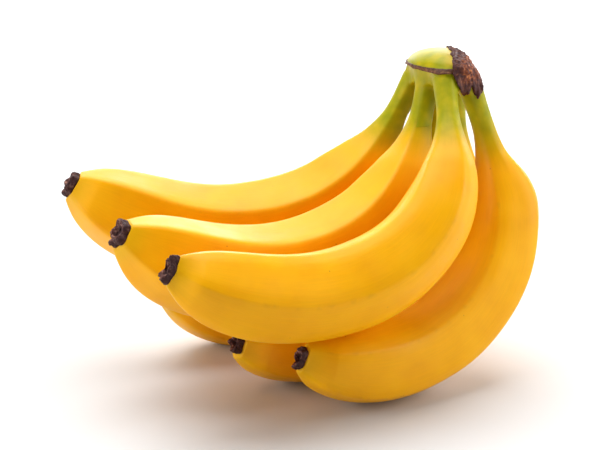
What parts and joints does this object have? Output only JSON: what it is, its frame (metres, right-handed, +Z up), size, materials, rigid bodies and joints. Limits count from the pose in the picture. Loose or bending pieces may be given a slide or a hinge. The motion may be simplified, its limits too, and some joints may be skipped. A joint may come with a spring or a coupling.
{
  "type": "bunch of bananas",
  "caption": "Bunch of ripe yellow bananas hanging together from one green crown, lying on its lower row with the upper row above it.",
  "frame": {"origin": "on the surface that the bunch lies on, under the middle of its bounding box", "axes": "+Z up, +X towards the crown's side, -Y towards the front, where the upper row's front finger is"},
  "size_m": [0.2108, 0.1659, 0.1429],
  "materials": {
    "ripe_peel": "smooth waxy banana peel, semi-matt, yellow with a green tinge at the stems and tips",
    "crown_peel": "smooth green-yellow peel with a dried brown lip and a torn fibrous brown end",
    "dried_flower": "dry, rough and woody, matt"
  },
  "bodies": {
    "root": {"crown": "crown_peel", "banana_upper_back": "ripe_peel", "banana_upper_middle": "ripe_peel", "banana_upper_front": "ripe_peel", "banana_lower_back": "ripe_peel", "banana_lower_middle": "ripe_peel", "banana_lower_front": "ripe_peel", "flower_end_upper_back": "dried_flower", "flower_end_upper_middle": "dried_flower", "flower_end_upper_front": "dried_flower", "flower_end_lower_back": "dried_flower", "flower_end_lower_middle": "dried_flower", "flower_end_lower_front": "dried_flower"}
  },
  "joints": []
}
